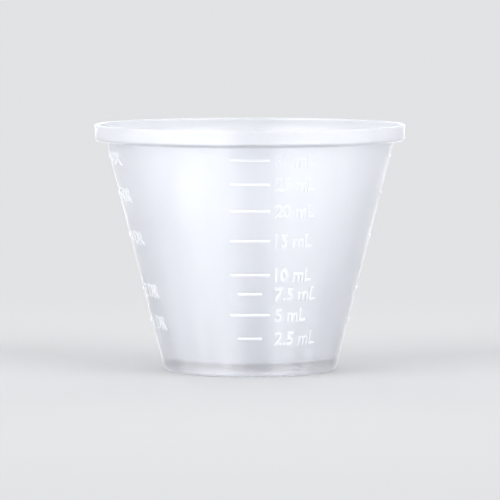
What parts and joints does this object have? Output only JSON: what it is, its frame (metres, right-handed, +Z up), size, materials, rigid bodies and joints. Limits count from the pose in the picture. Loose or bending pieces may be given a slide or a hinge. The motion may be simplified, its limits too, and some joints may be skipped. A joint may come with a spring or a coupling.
{
  "type": "medicine cup",
  "caption": "Small tapered measuring cup in milky plastic, with an upright collar and ledge for nesting and raised dose lines on four sides.",
  "frame": {"origin": "centre of the foot, on the surface that the cup stands on", "axes": "+Z up along the cup's axis, -Y towards the millilitre scale, +X towards the fluid ounce scale, +Y towards the teaspoon scale, -X towards the dram scale"},
  "size_m": [0.048, 0.048, 0.038],
  "materials": {
    "polypropylene": "milky translucent natural polypropylene, satin gloss"
  },
  "bodies": {
    "root": {"cup": "polypropylene"}
  },
  "joints": []
}
